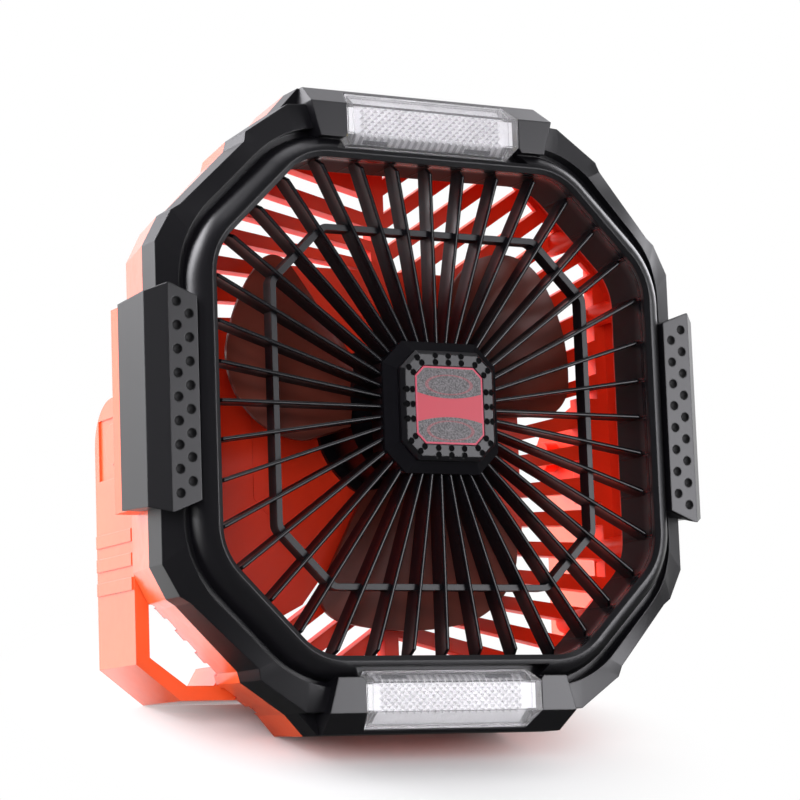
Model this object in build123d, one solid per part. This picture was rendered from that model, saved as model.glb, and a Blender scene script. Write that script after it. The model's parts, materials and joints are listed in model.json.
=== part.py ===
from build123d import *
from math import atan, atan2, cos, degrees, hypot, radians, sin, tan
import os

# Portable camping fan, millimetres. The model is drawn upright: X right, Y back, Z up, with
# the centre of the head at X = Z = 0 and the front of the light bars at Y = 0. At the end it
# leans back onto its folded stand and is moved so that it stands on Z = 0.

# ---- fits -----------------------------------------------------------------------------
SLIP = 0.2             # gap round a piece that drops into a seat
RUN = 0.05             # radial clearance of a shaft or pin
GAP = 0.5              # gap between pieces that swing past each other

# ---- front frame ----------------------------------------------------------------------
HEAD_X, HEAD_Z = 110.4, 120.0          # half width and half height of the head
CORNER = [(0, -61.4), (-6.2, -49.9), (-9.8, -47.6), (-33.6, -23.8), (-34.7, -19.8),
          (-52.1, -8.0), (-59.4, 0)]   # stepped corner, measured from (HEAD_X, HEAD_Z)
CORNER_Y = [12.8, 11.9, 11.0, 6.0, 7.0, 6.4]   # depth of the sloping face at those points
WALL = 2.4             # moulded wall
CREASE_Y = 8.8         # depth of the inner edge of the sloping face, halfway up the side
SHOULDER_Y = 12.8      # depth of its outer edge there
BAND_STRAIGHT = 45.0   # half height over which both stay the same
BAND_TOP = 8.0         # how far below the top the face meets the light bar
BAND_BACK = 15.0       # back of the solid part of the face
FRAME_BACK = 24.4      # parting line between the frame and the rear shell
OPEN_X, OPEN_Z = 91.5, 92.0            # half size of the air opening
OPEN_CUT = 37.2        # leg of its corner
OPEN_R = 22.0          # rounding of its corners
ROLL = [(2.0, 0.0), (4.2, 0.7), (6.6, 2.6), (8.4, 5.6), (9.5, 9.8)]  # section of the rim,
                       # as distance from the opening and depth
ROLL_SPREAD = 1.7      # how much the rounding of its corners grows with that distance
ROLL_IN = 1.2          # depth of the small slope inside the rim
GROOVE = 1.9           # width of the groove round the rim
GROOVE_Y = 9.8         # depth of the groove
CREASE_X, CREASE_Z = OPEN_X + ROLL[-1][0] + GROOVE, OPEN_Z + ROLL[-1][0] + GROOVE
CREASE_CUT, CREASE_R = 42.1, 40.0      # leg and rounding of the corner of the groove
CREASE_IN = [(-0.7, -51.9, 8.2), (-3.9, -41.6, 7.2), (-7.4, -36.7, 6.6), (-32.6, -10.1, 4.8),
             (-36.4, -7.1, 4.7), (-45.4, -1.9, 4.6)]  # inner edge of the sloping face opposite
                       # CORNER, from (CREASE_X, CREASE_Z), with its depth
LIP = 3.0              # depth of the lip that holds the grille

# ---- light bars -----------------------------------------------------------------------
BAR_IN, BAR_OUT = 99.7, 112.7          # Z of the edges of the flat front
BAR_SLOPE_Y = 10.2                     # depth where the outer slope meets the top
BAR_HALF = [(48.0, BAR_IN), (51.8, BAR_OUT), (50.2, HEAD_Z)]
LENS_HALF, LENS_CHAMFER = 36.8, 2.8    # half length, and cut at its corners
LENS_Z0, LENS_Z1, LENS_Z2, LENS_Z3 = 97.2, 101.5, 112.6, 118.4
LENS_Y0, LENS_Y3 = 5.5, 7.4            # depth of the inner and outer facets' far edges
LENS_BACK = 10.0
LENS_WALL = 1.8
POCKET_HALF = 41.0                     # half length of the dark slot beside the lens
TRAY = 2.8                             # thickness of the reflector tray
BOARD = 1.6                            # thickness of every circuit board
LED_COUNT = 12
LED_W, LED_H, LED_T = 3.6, 3.0, 1.0

# ---- front grille ---------------------------------------------------------------------
SPOKES = 40
SPOKE_T = 1.4          # thickness
SPOKE_Y, SPOKE_DEEP = 4.5, 8.5         # front edge, and depth along Y
SPOKE_DROP, SPOKE_RUN = 3.5, 2.5       # slope of the front edge at the wall
TUBE = 2.0             # wall of the air tube
RING = 66.6            # half width of the stiffening ring
RING_CUT, RING_R = 21.3, 4.0
RING_W, RING_Y, RING_T = 2.3, 6.2, 6.0
BOSS_X, BOSS_Z, BOSS_CUT = 24.0, 24.6, 8.5      # boss that the spokes grow from
BOSS_Y = 3.6
HUB_X, HUB_Z, HUB_CUT = 19.9, 20.5, 6.8
HUB_Y = -3.8           # front of the hub plate
HUB_T = 3.4            # its thickness
INSERT_X, INSERT_Z, INSERT_CUT = 14.3, 14.5, 3.7
INSERT_T = 1.0

# ---- side bumpers ---------------------------------------------------------------------
BUMP_IN, BUMP_EDGE, BUMP_OUT = 99.6, 111.2, 117.6   # X of the face, of its edge, of the side
BUMP_Y, BUMP_SIDE_Y, BUMP_BACK = 0.8, 7.8, 31.0
BUMP_HALF = 41.5       # half height at the outer edge of the face
BUMP_HALF_IN = 36.3    # half height at its inner edge
BUMP_HALF_SIDE = 37.7  # half height of the side
PAD_BACK = 43.0        # back of the shell's pads behind the bumpers
PAD_OUT = 115.2
STUD_R, STUD_PITCH = 2.0, 8.6

# ---- rear shell -----------------------------------------------------------------------
VENT_FRONT, SHELL_BACK = 48.0, 54.5    # front and back of the vented wall
SHELL_X, SHELL_Z = 103.8, 118.8        # half size at the back
SHELF = 2.0            # ring that clamps the grille tube
SLAT_PITCH = 13.7
SLAT_FIRST, SLAT_LAST = -9, 13         # slats of one half, counted from the middle
SLAT_T = 6.4           # thickness at the wall; it narrows with the pitch towards the middle
SLAT_ANGLE, SLAT_FAN = 11.3, 0.257     # slope at mid height, and its growth per millimetre
SLAT_END = 98.0        # X where the slots end
MIDDLE, MIDDLE_CUT = 60.0, 18.0        # closed middle of the vented wall
VENT_HALF_Z = 110.0
VENT_CUT = 46.0        # leg of the corner of the slotted area
NOTCH_CUT = 30.0       # and where the slots run out through the corner of the shell
NOTCH_Y = 50.5
RIB = 3.0              # half width of the middle rib
POD_R = 54.0           # outer radius of the pod
POD_SPLIT = 66.0       # parting line between the pod and its cover
POD_BACK = 80.0

# ---- stand ----------------------------------------------------------------------------
STAND_OUT = 103.0      # X of the outer face of an arm
ARM_T = 5.5
STAND_FRONT, STAND_BACK = 55.0, 90.0
PIVOT_Z = -7.5
STAND_FOOT = -105.0    # underside of the cross bar
BAR_T = 5.5            # its thickness
FOOT_CUT_X, FOOT_CUT_Z = 17.5, 13.5
LUG_T = 6.0
WASHER_T = 0.4
WASHER_R = 11.0
PIN_R = 3.0
HEAD_R, HEAD_T = 5.5, 2.4              # head of the pivot screw
CAP_R, CAP_T = 8.0, 1.2
GRIP_HALF, GRIP_RISE = 70.0, 8.0       # thick middle of the cross bar
GRIP_Y0, GRIP_Y1 = 60.0, 86.0
HOOK_L, HOOK_W, HOOK_T = 50.0, 22.0, 5.0
HOOK_STOCK = 5.0
HOOK_PIN_R = 1.6

# ---- rotor and motor ------------------------------------------------------------------
ROTOR_Y0, ROTOR_Y1 = 27.0, 45.0        # front and back of the hub
ROTOR_R, HUB_R = 81.0, 26.0
BLADES = 3
BLADE_T = 1.8
BLADE_BACK, BLADE_FRONT = 34.0, 36.0   # angles from the middle of a blade to its two edges
BACK_R, FRONT_R = 10.0, 28.0           # rounding of its tip at those edges
BLADE_Y = 31.4         # depth of the middle of a blade
PITCH_ROOT, PITCH_TIP = -32.0, -17.0   # blade pitch
BLADE_START = 38.0     # angle of the first blade
SHAFT_R = 2.0
BEARING_R, TUBE_R = 4.0, 6.0
STATOR_R = 18.0
TEETH = 9
MAGNET_T = 2.2
MOUNT_FLANGE = 2.0     # thickness of the flange of the motor mount
MOUNT_R, WIRE_R = 30.0, 22.0           # its radius, and the hole for the wires behind it
CELL_R, CELL_L = 9.2, 65.0
CELL_PITCH = 18.8

# ---- controls -------------------------------------------------------------------------
BUTTON_R, BUTTON_OUT, BUTTON_STROKE = 7.0, 1.4, 1.2
BUTTON_X, BUTTON_Z = 15.0, 12.0
PORT_W, PORT_H = 9.4, 3.6
PORT_X, PORT_Z = 8.0, -16.0
LAMP_R, LAMP_PITCH, LAMP_Z = 1.2, 6.0, -3.0
SCREW_R, SCREW_HEAD_R = 1.5, 3.0


# ---- drawing helpers ------------------------------------------------------------------
def front_plane(y):
    return Plane(origin=(0, y, 0), x_dir=(1, 0, 0), z_dir=(0, -1, 0))


def side_plane(x):
    return Plane(origin=(x, 0, 0), x_dir=(0, 1, 0), z_dir=(1, 0, 0))


def face(points, y, r=0):
    """A front-view polygon at depth y, its corners rounded by r."""
    flat = Polygon(*points, align=None)
    if r:
        flat = fillet(flat.vertices(), r)
    return front_plane(y) * flat


def slab(points, y0, y1, r=0):
    """A front-view polygon from y0 to y1."""
    return extrude(face(points, y1, r), y1 - y0, dir=(0, -1, 0))


def side(points, x0, x1):
    """A side-view polygon (Y, Z) from x0 to x1."""
    return extrude(side_plane(x0) * Polygon(*points, align=None), x1 - x0, dir=(1, 0, 0))


def disc(r, y0, y1, x=0.0, z=0.0):
    """A round bar along Y."""
    return extrude(front_plane(y1) * Pos(x, z) * Circle(r), y1 - y0)


def bar(r, x0, x1, y, z):
    """A round bar along X."""
    return extrude(side_plane(x0) * Pos(y, z) * Circle(r), x1 - x0)


def block(x0, x1, y0, y1, z0, z1):
    return Pos((x0 + x1) / 2, (y0 + y1) / 2, (z0 + z1) / 2) * Box(x1 - x0, y1 - y0, z1 - z0)


def four(quarter):
    """The whole outline from its upper right quarter."""
    back = list(reversed(quarter))
    return ([(x, z) for x, z in quarter] + [(-x, z) for x, z in back]
            + [(-x, -z) for x, z in quarter] + [(x, -z) for x, z in back])


def octagon(hx, hz, cut):
    return four([(hx, hz - cut), (hx - cut, hz)])


def grown_octagon(hx, hz, cut, by):
    """An octagon moved outwards by the same amount on every side."""
    return octagon(hx + by, hz + by, cut + by * (2 - 2 ** 0.5))


def opening(by=0.0):
    return grown_octagon(OPEN_X, OPEN_Z, OPEN_CUT, by)


def stepped(offsets, hx=HEAD_X, hz=HEAD_Z, inset=0.0):
    """The stepped outline of the head, scaled to another half size."""
    kx, kz = (hx - inset) / HEAD_X, (hz - inset) / HEAD_Z
    return four([((HEAD_X + dx) * kx, (HEAD_Z + dz) * kz) for dx, dz in offsets])


def upside_down(shape):
    return mirror(shape, Plane.XY)


def other_side(shape):
    return mirror(shape, Plane.YZ)


# ---- front frame ----------------------------------------------------------------------
def light_bar():
    front = four([(BAR_HALF[0][0], BAR_HALF[0][1]), BAR_HALF[1], BAR_HALF[2]])[:6]
    profile = [(0, BAR_IN), (0, BAR_OUT), (BAR_SLOPE_Y, HEAD_Z), (FRAME_BACK, HEAD_Z),
               (FRAME_BACK, BAR_IN)]
    return slab(front, 0, FRAME_BACK) & side(profile, -60, 60)


def lens_outline(by=0.0):
    x, z0, z3 = LENS_HALF + by, LENS_Z0 - by, LENS_Z3 + by
    return [(x, LENS_Z1 - by), (x, LENS_Z2 + by), (x - LENS_CHAMFER, z3),
            (-x + LENS_CHAMFER, z3), (-x, LENS_Z2 + by), (-x, LENS_Z1 - by),
            (-x + LENS_CHAMFER, z0), (x - LENS_CHAMFER, z0)]


BOX_HALF = LENS_HALF + 3.0             # room behind the lens
BOX_Z0, BOX_Z1 = LENS_Z0 + 0.6, HEAD_Z - WALL
BOX_Y = LENS_BACK - WALL + 1.0
TUBE_OUT = TUBE + SLIP                 # room that the grille tube takes


def roll_outline(by):
    return opening(by), OPEN_R + ROLL_SPREAD * by


def rim():
    """The rolled rim round the opening, with a small slope down into it."""
    sections = []
    for by, y in ROLL:
        outline, r = roll_outline(by)
        sections.append(face(outline, y, r))
    by, y = ROLL[-1]
    outline, r = roll_outline(by)
    body = loft(sections) + slab(outline, y, BAND_BACK, r)
    outline, r = roll_outline(ROLL[0][0])
    return body - loft([face(outline, 0, r), face(opening(), ROLL_IN, OPEN_R)], ruled=True)


def station(outer, y_out, inner, y_in):
    """Section of the sloping face: its outer and inner edge, and their depths."""
    (xo, zo), (xi, zi) = outer, inner
    run = hypot(xo - xi, zo - zi)
    k = 0.35 / run                     # the face runs on a little, into the groove's cut
    xk, yk, zk = xi - (xo - xi) * k, y_in - (y_out - y_in) * k, zi - (zo - zi) * k
    return make_face(Polyline((xo, y_out, zo), (xk, yk, zk), (xk, BAND_BACK, zk),
                              (xo, BAND_BACK, zo), close=True))


def band():
    """Right-hand half of the sloping face, from the lower to the upper light bar."""
    rows = [((HEAD_X, BAND_STRAIGHT), SHOULDER_Y, (CREASE_X, BAND_STRAIGHT), CREASE_Y)]
    for (dx, dz), y_out, (cx, cz, y_in) in zip(CORNER, CORNER_Y, CREASE_IN):
        rows.append(((HEAD_X + dx, HEAD_Z + dz), y_out, (CREASE_X + cx, CREASE_Z + cz), y_in))
    rows.append(((BAR_HALF[0][0] + 0.5, HEAD_Z - BAND_TOP), 4.0,
                 (BAR_HALF[0][0] + 0.5, CREASE_Z), 4.5))
    upper = [station(*row) for row in rows]
    lower = [station((xo, -zo), y_out, (xi, -zi), y_in)
             for (xo, zo), y_out, (xi, zi), y_in in reversed(rows)]
    return loft(lower + upper, ruled=True)


def front_frame():
    outline = stepped(CORNER)
    body = slab(outline, SHOULDER_Y, FRAME_BACK)
    body += [band(), other_side(band())]
    body += slab(octagon(CREASE_X + 1, CREASE_Z + 1, CREASE_CUT + 0.6), GROOVE_Y, BAND_BACK,
                 CREASE_R)
    body -= slab(octagon(CREASE_X, CREASE_Z, CREASE_CUT), -1, GROOVE_Y, CREASE_R)
    body += rim()
    for half in (light_bar(), upside_down(light_bar())):
        body += half
    body -= slab(opening(), -1, LIP + 1, OPEN_R)
    body -= slab(opening(TUBE_OUT), LIP, FRAME_BACK + 1, OPEN_R)
    inner_wall = slab(opening(TUBE_OUT + WALL), 0, FRAME_BACK + 2, OPEN_R)
    hollow = slab(stepped(CORNER, inset=WALL), SHOULDER_Y + 0.4, FRAME_BACK + 1) - inner_wall
    body -= hollow
    slot = slab([(-POCKET_HALF, LENS_Z0 - 1.6), (POCKET_HALF, LENS_Z0 - 1.6),
                 (LENS_HALF, LENS_Z1), (-LENS_HALF, LENS_Z1)], -1, LENS_Y0 + 1.5)
    room = slab(lens_outline(SLIP), -1, LENS_BACK + SLIP)
    box = block(-BOX_HALF, BOX_HALF, BOX_Y, FRAME_BACK + 1, BOX_Z0, BOX_Z1)
    for cut in (slot, room, box):
        body -= cut
        body -= upside_down(cut)
    for x, z in CASE_SCREWS:
        body += disc(BOSS_R, SHOULDER_Y, FRAME_BACK, x, z)
        body -= disc(SCREW_R, SHOULDER_Y + 2, FRAME_BACK + 1, x, z)
    return body


SCREW_SPOTS = [(82.3, 76.1), (99.0, 47.5)]
CASE_SCREWS = [(sx * x, sz * z) for x, z in SCREW_SPOTS for sx in (1, -1) for sz in (1, -1)]
BOSS_R = SCREW_R + 2.2
WELL_R = SCREW_HEAD_R + SLIP


def bumper():
    """Right-hand bumper: a rubber block with an angled outer edge and angled ends."""
    rim_end, near = OPEN_X + ROLL[-1][0], OPEN_X + ROLL[-2][0]
    near_y = ROLL[-2][1]
    profile = [(BUMP_IN, BUMP_Y), (BUMP_EDGE, BUMP_Y), (BUMP_OUT, BUMP_SIDE_Y),
               (BUMP_OUT, BUMP_BACK), (HEAD_X, BUMP_BACK), (HEAD_X, SHOULDER_Y),
               (CREASE_X, CREASE_Y), (CREASE_X, GROOVE_Y), (rim_end + 0.3, GROOVE_Y),
               (near + 0.4, near_y + 0.8), (BUMP_IN, near_y - 1.0)]
    plan = Plane(origin=(0, 0, -60), x_dir=(1, 0, 0), z_dir=(0, 0, 1))
    body = extrude(plan * Polygon(*profile, align=None), 120, dir=(0, 0, 1))
    drop = BUMP_HALF - BUMP_HALF_IN
    front = [(BUMP_IN - 1, -BUMP_HALF_IN), (BUMP_EDGE, -BUMP_HALF), (BUMP_OUT + 1, -BUMP_HALF),
             (BUMP_OUT + 1, BUMP_HALF), (BUMP_EDGE, BUMP_HALF), (BUMP_IN - 1, BUMP_HALF_IN)]
    ends = [(BUMP_Y - 1, BUMP_HALF), (BUMP_SIDE_Y, BUMP_HALF_SIDE + 1.1),
            (BUMP_BACK + 1, BUMP_HALF_SIDE)]
    profile_side = ends + [(y, -z) for y, z in reversed(ends)]
    body = body & slab(front, BUMP_Y - 1, BUMP_BACK + 1) & side(profile_side, 90, 125)
    x_out = BUMP_EDGE - 3.4
    x_in = BUMP_IN + 3.4
    studs = [(x_out, (i - 4) * STUD_PITCH) for i in range(9)]
    studs += [(x_in, (i - 3.5) * STUD_PITCH) for i in range(8)]
    for x, z in studs:
        body -= Pos(x, BUMP_Y - STUD_R * 0.45, z) * Sphere(STUD_R)
    return body


# ---- light bars' insides ----------------------------------------------------------------
def lens():
    shell = [(0, LENS_Z1), (0, LENS_Z2), (LENS_Y3, LENS_Z3), (LENS_BACK, LENS_Z3),
             (LENS_BACK, LENS_Z0), (LENS_Y0, LENS_Z0)]
    w = LENS_WALL
    inner = [(w, LENS_Z1 + 0.5), (w, LENS_Z2 - 0.5), (LENS_Y3 + 0.7, LENS_Z3 - w),
             (LENS_BACK + 1, LENS_Z3 - w), (LENS_BACK + 1, LENS_Z0 + w),
             (LENS_Y0 + 0.9, LENS_Z0 + w)]
    half = LENS_HALF - LENS_CHAMFER - 0.6
    body = side(shell, -LENS_HALF, LENS_HALF) & slab(lens_outline(), 0, LENS_BACK)
    return body - side(inner, -half, half)


TRAY_Z0, TRAY_Z1 = BOX_Z0 + SLIP, BOX_Z1 - SLIP
TRAY_HALF = BOX_HALF - SLIP
LED_Z = (TRAY_Z0 + TRAY_Z1) / 2
BOARD_Y = LENS_BACK + SLIP + TRAY


def led_xs():
    step = 2 * (LENS_HALF - 6.0) / (LED_COUNT - 1)
    return [(i - (LED_COUNT - 1) / 2) * step for i in range(LED_COUNT)]


def reflector():
    body = block(-TRAY_HALF, TRAY_HALF, LENS_BACK + SLIP, BOARD_Y, TRAY_Z0, TRAY_Z1)
    body -= block(-TRAY_HALF + 4, TRAY_HALF - 4, LENS_BACK, LENS_BACK + TRAY - 0.8,
                  TRAY_Z0 + 2, TRAY_Z1 - 2)
    for x in led_xs():
        body -= block(x - LED_W / 2 - SLIP, x + LED_W / 2 + SLIP, LENS_BACK, BOARD_Y + 1,
                      LED_Z - LED_H / 2 - SLIP, LED_Z + LED_H / 2 + SLIP)
    return body


def led_board():
    return block(-TRAY_HALF, TRAY_HALF, BOARD_Y, BOARD_Y + BOARD, TRAY_Z0, TRAY_Z1)


def led_chips():
    return Compound([block(x - LED_W / 2, x + LED_W / 2, BOARD_Y - LED_T, BOARD_Y,
                           LED_Z - LED_H / 2, LED_Z + LED_H / 2) for x in led_xs()])


# ---- front grille -------------------------------------------------------------------------
def wall_distance(angle):
    """How far the wall of the opening is from the middle, in one direction."""
    c, n = abs(cos(radians(angle))), abs(sin(radians(angle)))
    flat = [OPEN_X / c if c > 1e-6 else 1e6, OPEN_Z / n if n > 1e-6 else 1e6]
    return min(flat + [(OPEN_X + OPEN_Z - OPEN_CUT) / (c + n)])


def spoke(angle):
    """One spoke: flat in front, with a sloping corner where it meets the wall."""
    wall, y0, y1 = wall_distance(angle), SPOKE_Y, SPOKE_Y + SPOKE_DEEP
    blade = [(HUB_X * 0.72, y0), (wall - SPOKE_RUN, y0), (wall + 0.3, y0 + SPOKE_DROP),
             (wall + 6, y0 + SPOKE_DROP), (wall + 6, y1), (HUB_X * 0.72, y1)]
    plan = Plane(origin=(0, 0, -SPOKE_T / 2), x_dir=(1, 0, 0), z_dir=(0, 0, 1))
    flat = extrude(plan * Polygon(*blade, align=None), SPOKE_T, dir=(0, 0, 1))
    return Rot(0, -angle, 0) * flat


def grille():
    back = SPOKE_Y + SPOKE_DEEP
    spokes = [spoke(i * 360 / SPOKES) for i in range(SPOKES)]
    boss = slab(octagon(BOSS_X, BOSS_Z, BOSS_CUT), BOSS_Y, back)
    boss += slab(octagon(HUB_X - 1.2, HUB_Z - 1.2, HUB_CUT), HUB_Y + HUB_T, BOSS_Y)
    ring = (slab(octagon(RING + RING_W / 2, RING + RING_W / 2, RING_CUT + 0.5),
                 RING_Y, RING_Y + RING_T, RING_R + RING_W / 2)
            - slab(octagon(RING - RING_W / 2, RING - RING_W / 2, RING_CUT - 0.5),
                   RING_Y - 1, RING_Y + RING_T + 1, RING_R - RING_W / 2))
    web = spokes[0].fuse(*spokes[1:], boss, ring)
    web = web & slab(opening(TUBE / 2), HUB_Y, FRAME_BACK, OPEN_R)
    web -= slab(grown_octagon(HUB_X, HUB_Z, HUB_CUT, SLIP), HUB_Y - 1, HUB_Y + HUB_T)
    tube = (slab(opening(TUBE), LIP + SLIP, FRAME_BACK - SLIP, OPEN_R)
            - slab(opening(), LIP, FRAME_BACK, OPEN_R))
    return Part() + [web, tube]


def hub_plate():
    edge = 1.5
    body = loft([face(octagon(HUB_X - edge, HUB_Z - edge, HUB_CUT - edge * 0.6), HUB_Y),
                 face(octagon(HUB_X, HUB_Z, HUB_CUT), HUB_Y + edge)], ruled=True)
    body += slab(octagon(HUB_X, HUB_Z, HUB_CUT), HUB_Y + edge, HUB_Y + HUB_T)
    return body - slab(octagon(INSERT_X + SLIP, INSERT_Z + SLIP, INSERT_CUT),
                       HUB_Y - 1, HUB_Y + INSERT_T)


def hub_insert():
    return slab(octagon(INSERT_X, INSERT_Z, INSERT_CUT), HUB_Y + 0.1, HUB_Y + INSERT_T)


# ---- rear shell ------------------------------------------------------------------------------
def slat_line(k):
    """Height at the wall and slope of slat k of the right half; the slats fan out."""
    z = (k + 0.5) * SLAT_PITCH
    angle = max(-14.0, min(34.0, SLAT_ANGLE + SLAT_FAN * z))
    return z, tan(radians(angle))


def vent_slots():
    slots, notches = [], []
    for k in range(SLAT_FIRST, SLAT_LAST):
        (z0, s0), (z1, s1) = slat_line(k), slat_line(k + 1)
        run = SLAT_END - RIB
        in0, in1 = z0 - s0 * run, z1 - s1 * run
        half_in = (in1 - in0) / SLAT_PITCH * SLAT_T / 2
        points = [(RIB, in0 + half_in), (SLAT_END, z0 + SLAT_T / 2),
                  (SLAT_END, z1 - SLAT_T / 2), (RIB, in1 - half_in)]
        right = slab(points, VENT_FRONT - 1, SHELL_BACK + 1)
        slots += [right, Rot(0, 180, 0) * right]
        if k >= 0:
            notches += slots[-2:]
    cut = (Part() + slots) & slab(octagon(SLAT_END, VENT_HALF_Z, VENT_CUT), 0, 100)
    run_out = slab(octagon(SLAT_END, VENT_HALF_Z, NOTCH_CUT), NOTCH_Y, 100)
    cut += (Part() + notches) & run_out
    behind_lug = block(LUG_OUT - LUG_T - 2, SLAT_END + 1, 0, 100, PIVOT_Z - LUG_R - 7,
                       PIVOT_Z + LUG_R + 7)
    cut -= slab(octagon(MIDDLE, MIDDLE, MIDDLE_CUT), 0, 100)
    return cut - behind_lug - other_side(behind_lug)


def rear_shell():
    front, back = stepped(CORNER), stepped(CORNER, SHELL_X, SHELL_Z)
    mould = loft([face(front, FRAME_BACK), face(back, SHELL_BACK)], ruled=True)
    body = mould
    share = (VENT_FRONT - FRAME_BACK) / (SHELL_BACK - FRAME_BACK)
    deep = stepped(CORNER, HEAD_X + (SHELL_X - HEAD_X) * share,
                   HEAD_Z + (SHELL_Z - HEAD_Z) * share, WALL)
    body -= loft([face(stepped(CORNER, inset=WALL), FRAME_BACK), face(deep, VENT_FRONT)],
                 ruled=True)
    body += (slab(stepped(CORNER, inset=WALL), FRAME_BACK, FRAME_BACK + SHELF)
             - slab(opening(TUBE / 2), 0, 100, OPEN_R))
    pad = block(HEAD_X - 12, PAD_OUT, BUMP_BACK, PAD_BACK, -BUMP_HALF_SIDE, BUMP_HALF_SIDE)
    pad -= slab(stepped(CORNER, HEAD_X - 6, HEAD_Z), 0, 100)
    body += [pad, other_side(pad)]
    body -= vent_slots()
    body += disc(POD_R, VENT_FRONT, POD_SPLIT)
    body -= disc(POD_R - WALL, VENT_FRONT + WALL, 100)
    body -= disc(WIRE_R + SLIP, 0, 100)
    body += [lug(), other_side(lug())]
    for x, z in COVER_SCREWS:
        body += disc(BOSS_R, VENT_FRONT + 2, POD_SPLIT, x, z)
        body -= disc(SCREW_R, POD_SPLIT - 9, POD_SPLIT + 1, x, z)
    for x, z in CASE_SCREWS:
        body += disc(WELL_R + WALL / 2, FRAME_BACK, SHELL_BACK, x, z) & mould
        body -= disc(WELL_R, SCREW_SEAT, 100, x, z)
        body -= disc(SCREW_R + SLIP, 0, 100, x, z)
    return body


SCREW_SEAT = FRAME_BACK + 10.0


def case_screws():
    return Compound([disc(SCREW_R - 0.02, SHOULDER_Y + 3, SCREW_SEAT, x, z)
                     + disc(SCREW_HEAD_R, SCREW_SEAT, SCREW_SEAT + 2.2, x, z)
                     for x, z in CASE_SCREWS])


# ---- pivots -----------------------------------------------------------------------------------
PIVOT_Y = (STAND_FRONT + STAND_BACK) / 2
ARM_IN = STAND_OUT - ARM_T
LUG_OUT = ARM_IN - WASHER_T
LUG_R = 14.0


def lug():
    y0 = SHELL_BACK - 1
    outline = [(y0, PIVOT_Z + LUG_R + 6), (PIVOT_Y, PIVOT_Z + LUG_R),
               (PIVOT_Y, PIVOT_Z - LUG_R), (y0, PIVOT_Z - LUG_R - 6)]
    body = side(outline, LUG_OUT - LUG_T, LUG_OUT)
    body += bar(LUG_R, LUG_OUT - LUG_T, LUG_OUT, PIVOT_Y, PIVOT_Z)
    body += bar(PIN_R + 3, LUG_OUT - LUG_T - 6, LUG_OUT, PIVOT_Y, PIVOT_Z)
    return body - bar(PIN_R, LUG_OUT - LUG_T - 5, LUG_OUT + 1, PIVOT_Y, PIVOT_Z)


def washer():
    return (bar(WASHER_R, LUG_OUT, ARM_IN, PIVOT_Y, PIVOT_Z)
            - bar(PIN_R + RUN, LUG_OUT - 1, ARM_IN + 1, PIVOT_Y, PIVOT_Z))


HEAD_SEAT = STAND_OUT - CAP_T - HEAD_T - 0.3      # X of the underside of the screw head


def pivot_screw():
    return (bar(PIN_R - 0.02, LUG_OUT - LUG_T - 4, HEAD_SEAT + 0.1, PIVOT_Y, PIVOT_Z)
            + bar(HEAD_R, HEAD_SEAT + 0.1, HEAD_SEAT + HEAD_T, PIVOT_Y, PIVOT_Z)
            - bar(1.8, HEAD_SEAT + 1.2, HEAD_SEAT + HEAD_T + 1, PIVOT_Y, PIVOT_Z))


def pivot_cap():
    return bar(CAP_R - SLIP, STAND_OUT - CAP_T, STAND_OUT, PIVOT_Y, PIVOT_Z)


# ---- stand ------------------------------------------------------------------------------------
GRIP_TOP = STAND_FOOT + BAR_T + GRIP_RISE
HOOK_Y = (GRIP_Y0 + GRIP_Y1) / 2
HOOK_AXIS_Z = STAND_FOOT + 0.4 + HOOK_T / 2
HOOK_X0 = -HOOK_L / 2


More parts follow.
